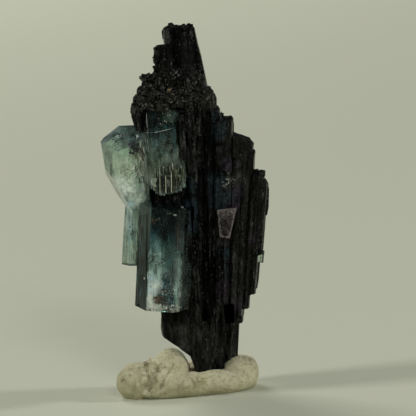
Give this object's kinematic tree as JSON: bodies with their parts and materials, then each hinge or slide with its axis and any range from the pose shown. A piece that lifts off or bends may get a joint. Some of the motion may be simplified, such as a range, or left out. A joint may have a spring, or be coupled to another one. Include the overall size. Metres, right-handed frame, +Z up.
{
  "type": "aquamarine specimen",
  "caption": "Clear blue-green aquamarine crystals grown on an upright bundle of black striated schorl, stood in a pressed lump of cream mineral putty.",
  "frame": {"origin": "on the surface it rests on, under the middle of the bounding box", "axes": "+Z up along the schorl's length, -Y towards the viewer, who sees the aquamarines at the left (-X)"},
  "size_m": [0.0238, 0.0176, 0.0534],
  "materials": {
    "schorl": "glossy black, striated",
    "aquamarine": "clear, natural crystal faces",
    "flake": "satin, cleaved",
    "putty": "matte, hand pressed"
  },
  "bodies": {
    "root": {"schorl_bundle": "schorl", "aquamarine_upper_pair": "aquamarine", "aquamarine_lower": "aquamarine", "aquamarine_back": "aquamarine", "aquamarine_small": "aquamarine", "pale_flake": "flake", "putty_base": "putty"}
  },
  "joints": []
}
